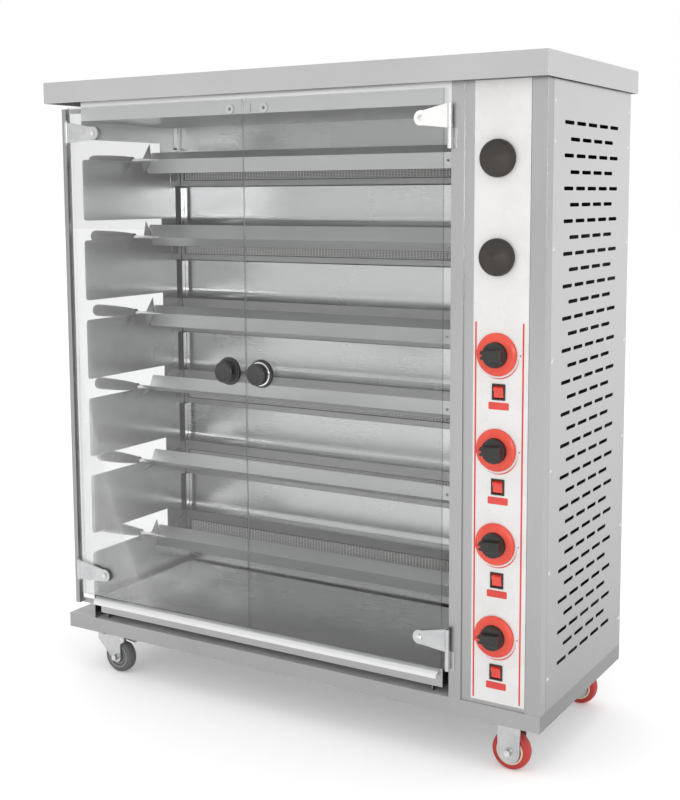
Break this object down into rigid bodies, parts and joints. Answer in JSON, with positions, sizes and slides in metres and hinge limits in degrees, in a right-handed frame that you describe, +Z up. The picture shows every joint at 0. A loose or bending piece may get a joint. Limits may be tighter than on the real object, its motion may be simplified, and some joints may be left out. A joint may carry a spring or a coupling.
{
  "type": "chicken rotisserie",
  "caption": "Gas chicken rotisserie on casters: glazed roasting chamber with powered angle-bar spits, rear burners, drip tray and a side control column.",
  "frame": {"origin": "on the floor, under the middle of the whole object's box", "axes": "+X to the right seen from the front, +Y to the back, +Z up; the doors face -Y"},
  "size_m": [1.2194, 0.507, 1.322],
  "materials": {
    "sheet_steel": "brushed stainless sheet",
    "inner_steel": "bright stainless liner, slightly heat-tinted",
    "zinc": "zinc-plated steel",
    "glass": "clear toughened glass",
    "white_paint": "satin white enamel",
    "burner_iron": "aluminised sheet and ceramic tiles",
    "gauze": "woven wire",
    "brass": "turned brass",
    "motor_grey": "cast housing, grey enamel",
    "black_plastic": "heat-proof moulding",
    "knob_black": "polished moulding",
    "rocker_red": "translucent red moulding",
    "grip_black": "heat-proof grip",
    "tyre_grey": "grey rubber tread on a plastic wheel",
    "tyre_red": "red rubber tread on a cream rim"
  },
  "bodies": {
    "cabinet": {"base_frame": "sheet_steel", "top_cover": "sheet_steel", "left_wall": "inner_steel", "right_wall": "inner_steel", "back_panel": "sheet_steel", "ceiling_panel": "inner_steel", "header_rail": "sheet_steel", "column_front": "sheet_steel", "corner_post": "sheet_steel", "side_panel": "sheet_steel", "control_plate": "white_paint", "reflector_panels": "inner_steel", "burner_housings": "burner_iron", "burner_gauzes": "gauze", "gas_manifold": "zinc", "gas_valves": "brass", "gear_motors": "motor_grey", "hinge_post": "sheet_steel", "right_hinge_leaves": "zinc", "switch_bezels": "black_plastic", "door_catches": "white_paint", "swivel_plates": "zinc", "rigid_brackets": "zinc"},
    "tray": {"drip_tray": "sheet_steel"},
    "left_door": {"left_glass": "glass", "left_hinge_plates": "zinc", "left_knob": "knob_black"},
    "right_door": {"right_glass": "glass", "right_hinge_plates": "white_paint", "right_knob": "knob_black"},
    "turning_spit_1": {"spit_1": "inner_steel", "grip_1": "grip_black"},
    "turning_spit_2": {"spit_2": "inner_steel", "grip_2": "grip_black"},
    "turning_spit_3": {"spit_3": "inner_steel", "grip_3": "grip_black"},
    "turning_spit_4": {"spit_4": "inner_steel", "grip_4": "grip_black"},
    "turning_spit_5": {"spit_5": "inner_steel", "grip_5": "grip_black"},
    "turning_spit_6": {"spit_6": "inner_steel", "grip_6": "grip_black"},
    "gas_dial_1": {"dial_1": "black_plastic"},
    "gas_dial_2": {"dial_2": "black_plastic"},
    "gas_dial_3": {"dial_3": "black_plastic"},
    "gas_dial_4": {"dial_4": "black_plastic"},
    "gas_dial_5": {"dial_5": "black_plastic"},
    "gas_dial_6": {"dial_6": "black_plastic"},
    "switch_1": {"rocker_1": "rocker_red"},
    "switch_2": {"rocker_2": "rocker_red"},
    "switch_3": {"rocker_3": "rocker_red"},
    "switch_4": {"rocker_4": "rocker_red"},
    "front_swivel": {"front_fork": "zinc"},
    "front_pedal": {"front_brake": "zinc"},
    "front_left_roller": {"wheel_front_left": "tyre_grey"},
    "front_right_roller": {"wheel_front_right": "tyre_red"},
    "rear_swivel": {"rear_fork": "zinc"},
    "rear_pedal": {"rear_brake": "zinc"},
    "rear_left_roller": {"wheel_rear_left": "tyre_grey"},
    "rear_right_roller": {"wheel_rear_right": "tyre_red"}
  },
  "joints": [
    {"name": "tray_slide", "type": "slide", "parent": "cabinet", "child": "tray", "axis": [0, -1, 0], "range_m": [0, 0.3]},
    {"name": "left_door_hinge", "type": "hinge", "parent": "cabinet", "child": "left_door", "pos_m": [-0.50875, -0.2255, 0.7], "axis": [0, 0, -1], "range_deg": [0, 110]},
    {"name": "right_door_hinge", "type": "hinge", "parent": "cabinet", "child": "right_door", "pos_m": [0.41675, -0.2255, 0.7], "axis": [0, 0, 1], "range_deg": [0, 110]},
    {"name": "spit_1_turn", "type": "hinge", "parent": "cabinet", "child": "turning_spit_1", "pos_m": [-0.47225, -0.0385, 0.28305], "axis": [1, 0, 0], "continuous": true},
    {"name": "spit_2_turn", "type": "hinge", "parent": "cabinet", "child": "turning_spit_2", "pos_m": [-0.47225, -0.0385, 0.45805], "axis": [1, 0, 0], "continuous": true},
    {"name": "spit_3_turn", "type": "hinge", "parent": "cabinet", "child": "turning_spit_3", "pos_m": [-0.47225, -0.0385, 0.63305], "axis": [1, 0, 0], "continuous": true},
    {"name": "spit_4_turn", "type": "hinge", "parent": "cabinet", "child": "turning_spit_4", "pos_m": [-0.47225, -0.0385, 0.80805], "axis": [1, 0, 0], "continuous": true},
    {"name": "spit_5_turn", "type": "hinge", "parent": "cabinet", "child": "turning_spit_5", "pos_m": [-0.47225, -0.0385, 0.98305], "axis": [1, 0, 0], "continuous": true},
    {"name": "spit_6_turn", "type": "hinge", "parent": "cabinet", "child": "turning_spit_6", "pos_m": [-0.47225, -0.0385, 1.15805], "axis": [1, 0, 0], "continuous": true},
    {"name": "dial_1_turn", "type": "hinge", "parent": "cabinet", "child": "gas_dial_1", "pos_m": [0.50875, -0.2155, 0.265], "axis": [0, -1, 0], "range_deg": [-90, 90]},
    {"name": "dial_2_turn", "type": "hinge", "parent": "cabinet", "child": "gas_dial_2", "pos_m": [0.50875, -0.2155, 0.44], "axis": [0, -1, 0], "range_deg": [-90, 90]},
    {"name": "dial_3_turn", "type": "hinge", "parent": "cabinet", "child": "gas_dial_3", "pos_m": [0.50875, -0.2155, 0.615], "axis": [0, -1, 0], "range_deg": [-90, 90]},
    {"name": "dial_4_turn", "type": "hinge", "parent": "cabinet", "child": "gas_dial_4", "pos_m": [0.50875, -0.2155, 0.79], "axis": [0, -1, 0], "range_deg": [-90, 90]},
    {"name": "dial_5_turn", "type": "hinge", "parent": "cabinet", "child": "gas_dial_5", "pos_m": [0.50875, -0.2155, 0.965], "axis": [0, -1, 0], "range_deg": [-90, 90]},
    {"name": "dial_6_turn", "type": "hinge", "parent": "cabinet", "child": "gas_dial_6", "pos_m": [0.50875, -0.2155, 1.14], "axis": [0, -1, 0], "range_deg": [-90, 90]},
    {"name": "switch_1_tilt", "type": "hinge", "parent": "cabinet", "child": "switch_1", "pos_m": [0.51275, -0.2105, 0.197], "axis": [-1, 0, 0], "range_deg": [0, 20]},
    {"name": "switch_2_tilt", "type": "hinge", "parent": "cabinet", "child": "switch_2", "pos_m": [0.51275, -0.2105, 0.372], "axis": [-1, 0, 0], "range_deg": [0, 20]},
    {"name": "switch_3_tilt", "type": "hinge", "parent": "cabinet", "child": "switch_3", "pos_m": [0.51275, -0.2105, 0.547], "axis": [-1, 0, 0], "range_deg": [0, 20]},
    {"name": "switch_4_tilt", "type": "hinge", "parent": "cabinet", "child": "switch_4", "pos_m": [0.51275, -0.2105, 0.722], "axis": [-1, 0, 0], "range_deg": [0, 20]},
    {"name": "front_swivel_turn", "type": "hinge", "parent": "cabinet", "child": "front_swivel", "pos_m": [-0.45925, -0.1765, 0.09], "axis": [0, 0, 1], "continuous": true},
    {"name": "front_pedal_press", "type": "hinge", "parent": "front_swivel", "child": "front_pedal", "pos_m": [-0.41725, -0.1765, 0.0817], "axis": [0, 1, 0], "range_deg": [0, 15]},
    {"name": "front_left_roll", "type": "hinge", "parent": "front_swivel", "child": "front_left_roller", "pos_m": [-0.43325, -0.1765, 0.0375], "axis": [0, 1, 0], "continuous": true},
    {"name": "front_right_roll", "type": "hinge", "parent": "cabinet", "child": "front_right_roller", "pos_m": [0.52975, -0.1765, 0.0375], "axis": [0, 1, 0], "continuous": true},
    {"name": "rear_swivel_turn", "type": "hinge", "parent": "cabinet", "child": "rear_swivel", "pos_m": [-0.45925, 0.1835, 0.09], "axis": [0, 0, 1], "continuous": true},
    {"name": "rear_pedal_press", "type": "hinge", "parent": "rear_swivel", "child": "rear_pedal", "pos_m": [-0.41725, 0.1835, 0.0817], "axis": [0, 1, 0], "range_deg": [0, 15]},
    {"name": "rear_left_roll", "type": "hinge", "parent": "rear_swivel", "child": "rear_left_roller", "pos_m": [-0.43325, 0.1835, 0.0375], "axis": [0, 1, 0], "continuous": true},
    {"name": "rear_right_roll", "type": "hinge", "parent": "cabinet", "child": "rear_right_roller", "pos_m": [0.52975, 0.1835, 0.0375], "axis": [0, 1, 0], "continuous": true}
  ]
}
